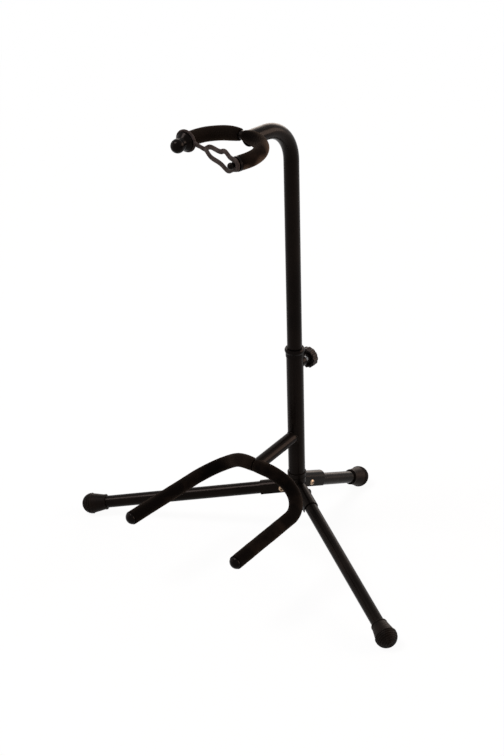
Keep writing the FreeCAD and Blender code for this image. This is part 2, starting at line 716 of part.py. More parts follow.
keep(swept_tube("neck_yoke_bent", neck_path("neck_yoke_path", left_end, right_end), "sizes.yoke_tube_od / 2",
                "sizes.yoke_bore"), "neck_yoke_tube")
foam_split = -size("sizes.neck_foam_offset")
foam_half_gap = size("sizes.neck_foam_gap / 2")
goose_run = (goose_end - goose_corner).Length
goose_notch = cylinder("neck_foam_notch", "sizes.upper_tube_od / 2 + sizes.soft_clearance",
                       f"{goose_run} + sizes.soft_clearance", along(goose_corner, goose_end - goose_corner))
foam_spans = {
    "left": (left_foam_end, foam_split - foam_half_gap),
    "right": (foam_split + foam_half_gap, right_end - size("sizes.soft_clearance")),
}
for side, (start, stop) in foam_spans.items():
    sleeve = swept_tube(f"neck_foam_{side}_sleeve", neck_path(f"neck_foam_{side}_path", start, stop),
                        "sizes.foam_od / 2", "sizes.foam_bore")
    keep(cut(f"neck_foam_{side}_notched", sleeve, goose_notch), f"neck_foam_{side}")


def ball_cap(kind, flange, bell, distance):
    """Plug for a neck yoke end: spigot in the tube, flange, bell, neck and ball."""
    point, ahead = neck_at(distance)
    neck = f"sizes.{kind}_neck_diameter / 2"
    ball = f"sizes.{kind}_ball_diameter / 2"
    rim = f"sizes.{kind}_flange_width"
    reach = f"sizes.{kind}_ball_reach"
    return turned(f"strap_{kind}_cap_body", [
        ("0", "0 - sizes.ball_spigot"),
        ("sizes.ball_plug", "0 - sizes.ball_spigot"),
        ("sizes.ball_plug", "0"),
        (flange, "0"),
        (flange, rim),
        (neck, f"{rim} + {bell}"),
        (neck, f"{reach} - sqrt(({ball}) ^ 2 - ({neck}) ^ 2)"),
        ("0", f"{reach} + {ball}", ball),
    ], along(point, ahead))


keep(ball_cap("anchor", "sizes.anchor_flange_diameter / 2", "sizes.anchor_bell", left_end),
     "strap_anchor_cap")
keep(ball_cap("hook", "sizes.foam_od / 2", "0", right_end), "strap_hook_cap")

# Strap: a ring round the left arm, a tail across the mouth, and a slotted loop over the hook's neck.
ring_point, ring_way = neck_at(left_foam_end - size("sizes.neck_ring_room / 2"))
hook_point, hook_way = neck_at(right_end + size("sizes.strap_hook_seat"))
loop_point = hook_point - Vector(0, 0, size("sizes.strap_sag"))
ring = turned("neck_strap_ring", [
    ("sizes.foam_bore", "0 - sizes.strap_ring_thickness / 2"),
    ("sizes.foam_bore + sizes.strap_ring_wall", "0 - sizes.strap_ring_thickness / 2"),
    ("sizes.foam_bore + sizes.strap_ring_wall", "sizes.strap_ring_thickness / 2"),
    ("sizes.foam_bore", "sizes.strap_ring_thickness / 2"),
], along(ring_point, ring_way))
strap_root = ring_point + Vector(0, 0, 1).cross(ring_way) * size("sizes.foam_bore + sizes.strap_ring_wall")
strap_run = (loop_point - strap_root).Length
strap_way = (loop_point - strap_root).normalize()
strap_side = strap_way.cross(Vector(0, 0, 1)).normalize()
strap_place = Placement(strap_root, Rotation(strap_way, strap_side.cross(strap_way), strap_side, "XYZ"))
band = "(sizes.strap_width / 2)"
loop_outer = f"(sizes.strap_slot_half + {band})"
loop_inner = f"(sizes.strap_slot_half - {band})"
loop_end = f"({strap_run} + sizes.hook_neck_diameter / 2 + sizes.strap_end_room - {loop_inner})"
strap_body = doc.addObject("PartDesign::Body", "neck_strap_band")
band_sketch = new_sketch(strap_body, "neck_strap_outline", "XY_Plane")
closed_outline(band_sketch, [
    ("0 - sizes.strap_ring_lap", f"0 - {band}"),
    ("sizes.strap_tail", f"0 - {band}"),
    (loop_end, f"0 - {loop_outer}"),
    (loop_end, loop_outer, loop_outer),
    ("sizes.strap_tail", band),
    ("0 - sizes.strap_ring_lap", band),
])
band_pad = strap_body.newObject("PartDesign::Pad", "neck_strap_thickness")
band_pad.Profile = band_sketch
band_pad.SideType = "Symmetric"
band_pad.setExpression("Length", "sizes.strap_thickness")
slot_sketch = new_sketch(strap_body, "neck_strap_slot", "XY_Plane")
closed_outline(slot_sketch, [
    ("sizes.strap_tail + sizes.strap_width", f"0 - {band} / 4"),
    (loop_end, f"0 - {loop_inner}"),
    (loop_end, loop_inner, loop_inner),
    ("sizes.strap_tail + sizes.strap_width", f"{band} / 4"),
])
slot = strap_body.newObject("PartDesign::Pocket", "neck_strap_opening")
slot.Profile = slot_sketch
slot.SideType = "Symmetric"
slot.Type = "ThroughAll"
strap_body.Placement = strap_place
keep(boolean("Part::Fuse", "neck_strap_solid", ring, strap_body), "neck_strap")

# Clamp: welded nut, stud with its nylon pad, and a lobed knob that is hollow behind.
nut_outside = cylinder("clamp_nut_outside", "sizes.stud_diameter / 2 + sizes.nut_wall", "sizes.nut_reach",
                       clamp_axis)
nut_cope = cylinder("clamp_nut_cope", "sizes.column_fit", "sizes.lower_tube_top")
keep(cut("clamp_nut_solid", nut_outside, nut_cope, stud_hole), "clamp_nut")
pad_start = Vector(0, size("sizes.pad_face"), size("sizes.clamp_height"))
keep(cylinder("clamp_pad_disc", "sizes.stud_diameter / 2 - sizes.running_clearance", "sizes.pad_thickness",
              along(pad_start, rearward)), "clamp_pad")
stud_start = pad_start + rearward * size("sizes.pad_thickness")
keep(cylinder("clamp_stud_rod", "sizes.stud_diameter / 2",
              "sizes.knob_start + sizes.stud_in_knob - sizes.pad_face - sizes.pad_thickness",
              along(stud_start, rearward)), "clamp_stud")


def circle_sketch(body, name, *circles):
    """Sketch of circles (radius, distance from the axis along X) on the body's XY plane."""
    sketch = new_sketch(body, name, "XY_Plane")
    for number, (radius, offset) in enumerate(circles):
        sketch.addGeometry(Part.Circle(Vector(size(offset), 0, 0), Vector(0, 0, 1), size(radius)), False)
        pin_point(sketch, number, 3, offset, "0")
        limit = sketch.addConstraint(Sketcher.Constraint("Radius", number, size(radius)))
        sketch.setExpression(f"Constraints[{limit}]", radius)
    return sketch


knob = doc.addObject("PartDesign::Body", "clamp_knob_body")
core = knob.newObject("PartDesign::Pad", "clamp_knob_core")
core.Profile = circle_sketch(knob, "clamp_knob_core_circle", ("sizes.knob_core", "0"))
core.setExpression("Length", "sizes.knob_depth")
lobe = knob.newObject("PartDesign::Pad", "clamp_knob_lobe")
lobe.Profile = circle_sketch(knob, "clamp_knob_lobe_circle",
                             ("sizes.knob_lobe_radius", "sizes.knob_diameter / 2 - sizes.knob_lobe_radius"))
lobe.setExpression("Length", "sizes.knob_depth")
lobes = knob.newObject("PartDesign::PolarPattern", "clamp_knob_lobes")
lobes.Originals = [lobe]
lobes.Axis = (lobe.Profile[0], ["N_Axis"])
lobes.Angle = 360
lobes.setExpression("Occurrences", "sizes.knob_lobes")
knob.Tip = lobes
doc.recompute()
hollow = knob.newObject("PartDesign::Pocket", "clamp_knob_hollow")
hollow.Profile = circle_sketch(knob, "clamp_knob_hollow_ring",
                               ("sizes.knob_core - sizes.knob_wall", "0"),
                               ("sizes.stud_diameter / 2 + sizes.knob_boss_wall", "0"))
hollow.Reversed = True
hollow.setExpression("Length", "sizes.knob_depth - sizes.knob_floor")
socket = knob.newObject("PartDesign::Pocket", "clamp_knob_socket")
socket.Profile = circle_sketch(knob, "clamp_knob_socket_circle",
                               ("sizes.stud_diameter / 2 + sizes.weld_gap", "0"))
socket.Reversed = True
socket.setExpression("Length", "sizes.stud_in_knob + sizes.weld_gap")
knob_edge = "sizes.knob_edge_radius"
knob_rim = "sizes.knob_diameter / 2"
rounding = knob.newObject("PartDesign::Groove", "clamp_knob_rounding")
rounding_sketch = new_sketch(knob, "clamp_knob_rounding_profile", "XZ_Plane")
closed_outline(rounding_sketch, [
    (f"{knob_rim} - {knob_edge}", "sizes.knob_depth"),
    (knob_rim, f"sizes.knob_depth - {knob_edge}", f"0 - {knob_edge}"),
    (f"{knob_rim} + {knob_edge}", f"sizes.knob_depth - {knob_edge}"),
    (f"{knob_rim} + {knob_edge}", f"sizes.knob_depth + {knob_edge}"),
    (f"{knob_rim} - {knob_edge}", f"sizes.knob_depth + {knob_edge}"),
])
rounding.Profile = rounding_sketch
rounding.ReferenceAxis = (rounding_sketch, ["V_Axis"])
rounding.Angle = 360
knob.Placement = along(Vector(0, size("sizes.knob_start"), size("sizes.clamp_height")), rearward)
keep(knob, "clamp_knob")

doc.recompute()
for item in doc.Objects:
    if "Invalid" in item.State or "Error" in item.State:
        raise RuntimeError(f"{item.Label} did not build: {item.State}")
for item in sub_parts:
    if item.Shape.isNull() or not item.Shape.isValid():
        raise RuntimeError(f"{item.Label} has no valid shape")
    if len(item.Shape.Solids) != 1:
        raise RuntimeError(f"{item.Label} has {len(item.Shape.Solids)} solids")
    item.Shape.exportStep(f"parts/{item.Label}.step")
print(len(sub_parts), "sub-parts exported")
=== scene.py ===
import bpy
import math
from mathutils import Matrix, Vector


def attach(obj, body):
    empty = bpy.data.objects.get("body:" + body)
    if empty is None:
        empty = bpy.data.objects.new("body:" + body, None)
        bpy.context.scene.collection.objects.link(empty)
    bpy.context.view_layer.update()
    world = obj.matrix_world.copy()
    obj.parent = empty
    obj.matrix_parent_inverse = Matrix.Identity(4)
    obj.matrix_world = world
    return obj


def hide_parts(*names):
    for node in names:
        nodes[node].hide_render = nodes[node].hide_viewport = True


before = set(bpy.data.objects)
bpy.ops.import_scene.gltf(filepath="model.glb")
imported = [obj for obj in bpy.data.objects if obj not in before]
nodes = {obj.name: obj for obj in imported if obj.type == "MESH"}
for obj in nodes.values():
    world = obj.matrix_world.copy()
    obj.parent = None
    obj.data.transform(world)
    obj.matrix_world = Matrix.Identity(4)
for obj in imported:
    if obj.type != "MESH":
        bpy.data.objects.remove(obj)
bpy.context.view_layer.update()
bpy.context.scene.view_settings.view_transform = "Standard"
up = Vector((0, 0, 1))


# shader maths: a Wire is one output socket in a node tree
class Wire:
    def __init__(self, tree, socket=None):
        self.tree = tree
        self.socket = socket

    def node(self, kind, feeds=None, settings=None, give=0):
        made = self.tree.nodes.new(kind)
        for name, value in (settings or {}).items():
            setattr(made, name, value)
        for name, value in (feeds or {}).items():
            if isinstance(value, Wire):
                self.tree.links.new(value.socket, made.inputs[name])
            else:
                made.inputs[name].default_value = value
        return Wire(self.tree, made.outputs[give])

    def calc(self, operation, first, second):
        return self.node("ShaderNodeMath", {0: first, 1: second}, {"operation": operation})

    def __add__(self, other):
        return self.calc("ADD", self, other)

    def __radd__(self, other):
        return self.calc("ADD", other, self)

    def __mul__(self, other):
        return self.calc("MULTIPLY", self, other)

    def __rmul__(self, other):
        return self.calc("MULTIPLY", other, self)

    def noise(self, place, scale, detail):
        return self.node("ShaderNodeTexNoise", {"Vector": place, "Scale": scale, "Detail": detail})

    def cells(self, place, scale):
        return self.node("ShaderNodeTexVoronoi", {"Vector": place, "Scale": scale})

    def apart(self, place, spot):
        return self.node("ShaderNodeVectorMath", {0: place, 1: spot}, {"operation": "DISTANCE"}, give="Value")

    def fade(self, mask, low, high):  # 0 at low, 1 at high
        return self.node("ShaderNodeMapRange", {"Value": mask, "From Min": low, "From Max": high})

    def tint(self, mask, first, second):  # from the first colour to the second; either may be a wire
        first, second = (c if isinstance(c, Wire) else c + (1,) for c in (first, second))
        feeds = {"Factor": mask, 6: first, 7: second}  # the Mix node's two colours, by number
        return self.node("ShaderNodeMix", feeds, {"data_type": "RGBA"}, give=2)

    def relief(self, height, depth, strength):
        return self.node("ShaderNodeBump", {"Height": height, "Distance": depth, "Strength": strength})


def newMaterial(name, fixed):
    material = bpy.data.materials.new(name)
    material.use_nodes = True
    shader = material.node_tree.nodes["Principled BSDF"]
    for socket, value in fixed.items():
        shader.inputs[socket].default_value = value
    start = Wire(material.node_tree)
    return material, shader, start, start.node("ShaderNodeTexCoord", give="Object")


def finishMaterial(shader, colour, roughness, normal, metallic=None):
    feeds = {"Base Color": colour, "Roughness": roughness, "Normal": normal, "Metallic": metallic}
    for socket, wire in feeds.items():
        if wire is not None:
            wire.tree.links.new(wire.socket, shader.inputs[socket])


# warm reflections, and a dusty bloom at glancing angles
warmth = {"reflection": (1, 0.78, 0.68, 1), "bloom": (1, 0.70, 0.52, 1), "bloomRough": 0.4}


def warmFinish(gloss, bloom):
    return {"Specular IOR Level": gloss, "Specular Tint": warmth["reflection"], "Sheen Weight": bloom,
            "Sheen Roughness": warmth["bloomRough"], "Sheen Tint": warmth["bloom"]}


# in the finishes below, a noise is its scale and detail, a span is where a mask starts and ends,
# and a bump is its depth in metres and its strength

# satin powder coat: orange peel, cloudy gloss and a little dust
coat = {"dark": (0.0010, 0.0008, 0.0007), "light": (0.0046, 0.0032, 0.0026), "dust": (0.034, 0.024, 0.018),
        "gloss": 0.055, "bloom": 0.012, "peel": (620, 2), "cloud": (18, 4), "speck": (210, 5),
        "cloudSpan": (0.35, 0.7), "speckSpan": (0.70, 0.78), "dusting": 0.35,
        "rough": {"base": 0.17, "cloud": 0.12, "peel": 0.06, "speck": 0.15}, "bump": (0.0002, 0.16)}


def makeCoat():
    material, shader, start, place = newMaterial("satinBlackCoat", warmFinish(coat["gloss"], coat["bloom"]))
    rough = coat["rough"]
    cloud = start.noise(place, *coat["cloud"])
    peel = start.noise(place, *coat["peel"])
    speck = start.fade(start.noise(place, *coat["speck"]), *coat["speckSpan"])
    base = start.tint(start.fade(cloud, *coat["cloudSpan"]), coat["dark"], coat["light"])
    colour = start.tint(speck * coat["dusting"], base, coat["dust"])
    roughness = rough["base"] + rough["cloud"] * cloud + rough["peel"] * peel + rough["speck"] * speck
    finishMaterial(shader, colour, roughness, start.relief(peel, *coat["bump"]))
    return material


# closed-cell foam: open cut cells at the skin, brownish in random worn patches, and painted light: lit brown
# patches painted on the neck yoke
foam = {"dark": (0.0009, 0.0007, 0.0007), "worn": (0.0130, 0.0084, 0.0060), "gloss": 0.02, "bloom": 0.045,
        "cell": 1150, "pore": (2600, 2), "rub": (24, 5), "rubSpan": (0.50, 0.74), "poreSpan": (0.56, 0.74),
        "wear": {"rub": 0.7, "pore": 0.3}, "rough": {"base": 0.84, "pore": 0.10},
        "height": {"cell": 0.7, "pore": 0.3, "rub": 0.8}, "bump": (0.0006, 0.38),
        "paintedLight": (0.052, 0.035, 0.025),  # painted light, the brown of lit foam, and the patches of the neck yoke it is painted on: place, reach and strength
        "paintedLightSpots": [((0.058, -0.112, 0.669), 0.026, 1.0), ((0.069, -0.143, 0.664), 0.019, 1.0),
                  ((0.064, -0.172, 0.661), 0.016, 1.0), ((-0.036, -0.125, 0.678), 0.075, 0.28)],
        "spotCore": 0.35, "paintedLightGrain": {"base": 0.35, "rub": 0.5, "pore": 0.5}, "paintedLightSpan": (0.15, 0.9)}


def makeFoam():
    material, shader, start, place = newMaterial("matteFoam", warmFinish(foam["gloss"], foam["bloom"]))
    wear, rough, grain, tall = (foam[k] for k in ("wear", "rough", "paintedLightGrain", "height"))
    rub = start.noise(place, *foam["rub"])
    cell = start.cells(place, foam["cell"])
    pore = start.noise(place, *foam["pore"])
    mask = (start.fade(rub, *foam["rubSpan"]) * wear["rub"]
            + start.fade(pore, *foam["poreSpan"]) * wear["pore"])
    # painted light: brown highlight patches painted on the neck yoke, broken up by the foam's grain
    paintedLightMask = sum(strength * start.fade(start.apart(place, spot), reach, reach * foam["spotCore"])
                 for spot, reach, strength in foam["paintedLightSpots"])
    base = start.tint(mask, foam["dark"], foam["worn"])
    paintedLight = start.fade(paintedLightMask * (grain["base"] + grain["rub"] * rub + grain["pore"] * pore), *foam["paintedLightSpan"])
    colour = start.tint(paintedLight, base, foam["paintedLight"])
    roughness = rough["base"] + rough["pore"] * pore
    height = cell * tall["cell"] + pore * tall["pore"] + rub * tall["rub"]
    finishMaterial(shader, colour, roughness, start.relief(height, *foam["bump"]))
    return material


# moulded rubber of the feet, and the greyer elastic of the strap
rubberFinishes = {
    "footRubber": {"dark": (0.0013, 0.0010, 0.0010), "worn": (0.0066, 0.0043, 0.0033), "gloss": 0.055,
                   "rough": 0.36, "grain": (900, 3), "patch": (46, 5)},
    "strapRubber": {"dark": (0.014, 0.0095, 0.0085), "worn": (0.050, 0.039, 0.036), "gloss": 0.08,
                    "rough": 0.46, "grain": (1400, 3), "patch": (90, 5)},
}
rubberGrain = {"bloom": 0.03, "wornSpan": (0.38, 0.75), "rough": {"patch": 0.22, "grain": 0.08},
               "height": {"grain": 0.6, "patch": 0.4}, "bump": (0.0003, 0.30)}


def makeRubber(name):
    look = rubberFinishes[name]
    rough, tall = rubberGrain["rough"], rubberGrain["height"]
    material, shader, start, place = newMaterial(name, warmFinish(look["gloss"], rubberGrain["bloom"]))
    patch = start.noise(place, *look["patch"])
    grain = start.noise(place, *look["grain"])
    colour = start.tint(start.fade(patch, *rubberGrain["wornSpan"]), look["dark"], look["worn"])
    roughness = look["rough"] + rough["patch"] * patch + rough["grain"] * grain
    height = grain * tall["grain"] + patch * tall["patch"]
    finishMaterial(shader, colour, roughness, start.relief(height, *rubberGrain["bump"]))
    return material


# moulded plastic with a spark-eroded grain; nylon is duller
plasticFinishes = {
    "capPlastic": {"dark": (0.0009, 0.0008, 0.0009), "light": (0.0030, 0.0024, 0.0022), "gloss": 0.05,
                   "rough": 0.12, "grain": (1300, 2)},
    "knobPlastic": {"dark": (0.0026, 0.0020, 0.0020), "light": (0.0095, 0.0070, 0.0062), "gloss": 0.12,
                    "rough": 0.32, "grain": (1500, 2)},
    "dullNylon": {"dark": (0.014, 0.014, 0.014), "light": (0.035, 0.035, 0.033), "gloss": 0.20,
                  "rough": 0.50, "grain": (800, 2)},
}
plasticGrain = {"bloom": 0.0, "smear": (40, 4), "smearSpan": (0.35, 0.75),
                "rough": {"smear": 0.16, "grain": 0.08}, "bump": (0.00012, 0.22)}


def makePlastic(name):
    look = plasticFinishes[name]
    rough = plasticGrain["rough"]
    material, shader, start, place = newMaterial(name, warmFinish(look["gloss"], plasticGrain["bloom"]))
    grain = start.noise(place, *look["grain"])
    smear = start.noise(place, *plasticGrain["smear"])
    colour = start.tint(start.fade(smear, *plasticGrain["smearSpan"]), look["dark"], look["light"])
    roughness = look["rough"] + rough["smear"] * smear + rough["grain"] * grain
    finishMaterial(shader, colour, roughness, start.relief(grain, *plasticGrain["bump"]))
    return material


# bare metal: brass-plated rivets and the zinc-plated stud, dulled in patches
metalFinishes = {
    "rivetBrass": {"clean": (0.44, 0.32, 0.22), "dull": (0.15, 0.10, 0.066), "rough": 0.26,
                   "patch": (420, 4), "fine": (2520, 2),
                   "darkened": [((0.0257, 0, 0.0755), 0.0065)]},  # the right rivet's tail, given the coat's dark colour
    "studZinc": {"clean": (0.42, 0.42, 0.42), "dull": (0.20, 0.20, 0.195), "rough": 0.26,
                 "patch": (300, 4), "fine": (1800, 2), "darkened": []},
}
metalGrain = {"dullSpan": (0.36, 0.72), "roughPatch": 0.30, "bump": (0.00008, 0.25), "darkCore": 0.8}


def makeMetal(name):
    look = metalFinishes[name]
    material, shader, start, place = newMaterial(name, {"Metallic": 1.0, "Specular IOR Level": coat["gloss"]})
    patch = start.noise(place, *look["patch"])
    fine = start.noise(place, *look["fine"])
    colour = start.tint(start.fade(patch, *metalGrain["dullSpan"]), look["clean"], look["dull"])
    roughness = look["rough"] + metalGrain["roughPatch"] * patch
    metallic = None
    # darkened spots take the coat's dark colour and lose their metal
    for spot, reach in look["darkened"]:
        metallic = start.fade(start.apart(place, spot), reach * metalGrain["darkCore"], reach)
        colour = start.tint(metallic, coat["dark"], colour)
    finishMaterial(shader, colour, roughness, start.relief(fine, *metalGrain["bump"]), metallic)
    return material


finishes = {"coat": makeCoat(), "foam": makeFoam(), "foot": makeRubber("footRubber"),
            "strap": makeRubber("strapRubber"), "cap": makePlastic("capPlastic"),
            "knob": makePlastic("knobPlastic"), "nylon": makePlastic("dullNylon"),
            "rivet": makeMetal("rivetBrass"), "stud": makeMetal("studZinc")}
# by the start of a node's name; every other node is coated steel
nodeFinishes = {"leg_foot": "foot", "leg_rivet": "rivet", "body_yoke_cap": "cap", "strap_anchor_cap": "cap",
                "strap_hook_cap": "cap", "collar_bush": "cap", "clamp_knob": "knob", "hub_plug": "knob",
                "clamp_stud": "stud", "clamp_pad": "nylon", "mast_guide": "nylon", "rear_stop_pad": "nylon",
                "neck_strap": "strap", "body_yoke_foam": "foam", "neck_foam": "foam"}
for nodeName, node in nodes.items():
    finish = next((f for start, f in nodeFinishes.items() if nodeName.startswith(start)), "coat")
    node.data.materials.clear()
    node.data.materials.append(finishes[finish])
print("finishes given to", len(nodes), "nodes")

meshDetail = {"smoothAngle": math.radians(40), "holeSides": 8, "tubeAround": 14, "tubeAlong": 8}


def deselect():
    bpy.ops.object.select_all(action="DESELECT")


def selectOnly(piece):
    deselect()
    piece.select_set(True)
    bpy.context.view_layer.objects.active = piece


def applyModifier(piece, kind, **settings):
    modifier = piece.modifiers.new(kind.lower(), kind)
    for name, value in settings.items():
        setattr(modifier, name, value)
    bpy.context.view_layer.objects.active = piece
    bpy.ops.object.modifier_apply(modifier=modifier.name)


def settle(piece, name, finish):  # place into the mesh, smooth shading, name and finish
    selectOnly(piece)
    bpy.ops.object.transform_apply(location=True, rotation=True, scale=True)
    bpy.ops.object.shade_smooth_by_angle(angle=meshDetail["smoothAngle"])
    piece.name = name
    piece.data.name = name
    piece.data.materials.clear()
    piece.data.materials.append(finishes[finish])


def mend(piece, gap):  # merge what lies closer than gap, cap open ends and turn the faces outwards
    selectOnly(piece)
    bpy.ops.object.mode_set(mode="EDIT")
    bpy.ops.mesh.select_all(action="SELECT")
    bpy.ops.mesh.remove_doubles(threshold=gap)
    bpy.ops.mesh.dissolve_degenerate(threshold=gap)
    bpy.ops.mesh.fill_holes(sides=meshDetail["holeSides"])
    bpy.ops.mesh.select_all(action="SELECT")
    bpy.ops.mesh.normals_make_consistent(inside=False)
    bpy.ops.object.mode_set(mode="OBJECT")


def removeObject(piece):
    bpy.data.objects.remove(piece, do_unlink=True)


# a tube drawn round a line of points, in metres; widths scale its radius, and no radius leaves the bare line
def drawTube(points, radius, widths=None, closed=False, rounded=False):
    curve = bpy.data.curves.new("tubeLine", "CURVE")
    curve.dimensions = "3D"
    curve.bevel_depth = radius
    curve.bevel_resolution = meshDetail["tubeAround"]
    curve.resolution_u = meshDetail["tubeAlong"]
    curve.use_fill_caps = rounded
    widths = widths or [1.0] * len(points)
    if rounded:
        spline = curve.splines.new("BEZIER")
        spline.bezier_points.add(len(points) - 1)
        for knot, place, width in zip(spline.bezier_points, points, widths):
            knot.co = place
            knot.radius = width
            knot.handle_left_type = "AUTO"
            knot.handle_right_type = "AUTO"
    else:
        spline = curve.splines.new("POLY")
        spline.points.add(len(points) - 1)
        for knot, place, width in zip(spline.points, points, widths):
            knot.co = tuple(place) + (1,)
            knot.radius = width
    spline.use_cyclic_u = closed
    tube = bpy.data.objects.new("tube", curve)
    bpy.context.scene.collection.objects.link(tube)
    selectOnly(tube)
    bpy.ops.object.convert(target="MESH")
    return bpy.context.object


# points along straight runs and tangent bends
def bentLine(corners, bends, step):
    points = [corners[0]]

    def runTo(there):
        here = points[-1]
        pieces = max(1, round((there - here).length / step))
        points.extend(here.lerp(there, (i + 1) / pieces) for i in range(pieces))

    for before, corner, after, bend in zip(corners, corners[1:], corners[2:], bends):
        back = (before - corner).normalized()
        ahead = (after - corner).normalized()
        half = back.angle(ahead) / 2
        centre = corner + (back + ahead).normalized() * (bend / math.sin(half))
        runTo(corner + back * (bend / math.tan(half)))
        arm = points[-1] - centre
        pieces = max(4, round(bend * (math.pi - 2 * half) / step))
        turn = (math.pi - 2 * half) / pieces
        axis = ahead.cross(back).normalized()
        if (Matrix.Rotation(turn, 3, axis) @ arm - arm).dot(back) > 0:
            axis = -axis
        points.extend(centre + Matrix.Rotation(turn * (i + 1), 3, axis) @ arm for i in range(pieces))
    runTo(corners[-1])
    return points


# the neck yoke's axis: a horseshoe tipped down a little, measured from its middle, positive to the right
neckYoke = {"middle": Vector((0, -0.0972, 0.676)), "half": 0.004, "bend": 0.052, "turn": math.radians(104),
            "tilt": math.radians(1.9)}
neckArm = neckYoke["half"] + neckYoke["bend"] * neckYoke["turn"]


def neckAt(run):
    hand = math.copysign(1, run)
    turn = min(max(abs(run) - neckYoke["half"], 0) / neckYoke["bend"], neckYoke["turn"])
    rest = max(abs(run) - neckArm, 0)
    across = min(abs(run), neckYoke["half"]) + neckYoke["bend"] * math.sin(turn) + rest * math.cos(turn)
    ahead = neckYoke["bend"] * (1 - math.cos(turn)) + rest * math.sin(turn)
    tipped = Vector((0, -math.cos(neckYoke["tilt"]), -math.sin(neckYoke["tilt"])))
    spot = neckYoke["middle"] + tipped * ahead + Vector((hand * across, 0, 0))
    return spot, tipped * math.sin(turn) + Vector((hand * math.cos(turn), 0, 0))


def neckLine(start, stop, step):
    count = round(abs(stop - start) / step)
    return [neckAt(start + (stop - start) * i / count)[0] for i in range(count + 1)]


# foam sleeves: cut ends a little rounded, drawn in where they were cut, and pressed uneven along the way
foamShape = {"radius": 0.0104, "bore": 0.00668, "step": 0.0014, "edge": 0.0007, "edgeAngle": math.radians(60),
             "lump": 0.016, "lumpDepth": 3, "rise": 0.00045, "level": 0.62, "taper": 0.022, "weld": 0.00001,
             "fill": 0.9,
             "yokeStart": Vector((-0.0015, -0.0945, 0.1584)), "yokeGap": 0.0008, "yokeDrawIn": 0.04,
             "yokeCorners": [(0.030, -0.0945, 0.1584), (0.0886, -0.078, 0.1225), (0.097, -0.2597, 0.11601)],
             "yokeBends": [0.050, 0.045], "leftExtra": 0.005,
             "stubRoot": Vector((0, 0, 0.168)), "stubRadius": 0.0103,
             "stubFacets": {"left": 64, "right": 80}, "gooseFacets": 64,  # these counts cut without slivers
             "gooseRoot": Vector((0, 0, 0.6647)), "gooseTip": Vector((0, -0.09165, 0.67012)),
             "gooseRadius": 0.0114,
             "neckRuns": {"left": (-0.008, -neckArm + 0.0105), "right": (-0.0015, neckArm + 0.0107)},
             "neckDrawIn": {"left": 0.17, "right": 0.28}}
lumps = bpy.data.textures.new("foamLumps", "CLOUDS")
lumps.noise_scale = foamShape["lump"]
lumps.noise_depth = foamShape["lumpDepth"]


def makeSleeve(name, node, body, points, drawIn, notch):
    look = foamShape
    widths = [1 - drawIn * max(0, 1 - i * look["step"] / look["taper"]) ** 2 for i in range(len(points))]
    sleeve = drawTube(points, look["radius"], widths)
    wall = look["radius"] - look["bore"]
    around = len(sleeve.data.vertices) // len(points)
    walls = sleeve.vertex_groups.new(name="wall")
    for i, width in enumerate(widths):
        share = (look["radius"] * width - look["bore"]) / wall
        walls.add(range(i * around, (i + 1) * around), share, "REPLACE")
    applyModifier(sleeve, "SOLIDIFY", thickness=wall, offset=-1.0, use_rim=True, vertex_group="wall")
    applyModifier(sleeve, "BEVEL", width=look["edge"], segments=3, limit_method="ANGLE",
                  angle_limit=look["edgeAngle"])
    applyModifier(sleeve, "DISPLACE", texture=lumps, texture_coords="LOCAL", strength=look["rise"],
                  mid_level=look["level"])
    root, tip, radius, facets = notch
    deselect()
    bpy.ops.mesh.primitive_cylinder_add(vertices=facets, radius=radius, depth=(tip - root).length,
                                        location=(root + tip) / 2,
                                        rotation=(tip - root).to_track_quat("Z", "Y").to_euler())
    cutter = bpy.context.object
    applyModifier(sleeve, "BOOLEAN", operation="DIFFERENCE", object=cutter, solver="MANIFOLD")
    removeObject(cutter)
    mend(sleeve, look["weld"])
    settle(sleeve, name, "foam")
    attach(sleeve, body)
    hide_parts(node)


def makeFoamSleeves():
    look = foamShape
    stubTip = Vector((0, look["yokeStart"].y, look["yokeStart"].z))
    for side, hand in (("left", -1), ("right", 1)):
        start = look["yokeStart"] + Vector((hand * look["yokeGap"], 0, 0))
        corners = [start] + [Vector((hand * x, y, z)) for x, y, z in look["yokeCorners"]]
        if side == "left":
            corners[-1] += (corners[-1] - corners[-2]).normalized() * look["leftExtra"]
        points = bentLine(corners, look["yokeBends"], look["step"])
        makeSleeve("bodyFoam" + side.title(), "body_yoke_foam_" + side, "base", points, look["yokeDrawIn"],
                   (look["stubRoot"], stubTip, look["stubRadius"], look["stubFacets"][side]))
    goose = (look["gooseRoot"], look["gooseTip"], look["gooseRadius"], look["gooseFacets"])
    for side, (start, stop) in look["neckRuns"].items():
        points = neckLine(start, stop, look["step"])
        makeSleeve("neckFoam" + side.title(), "neck_foam_" + side, "mast", points, look["neckDrawIn"][side],
                   goose)
    print("foam sleeves drawn")


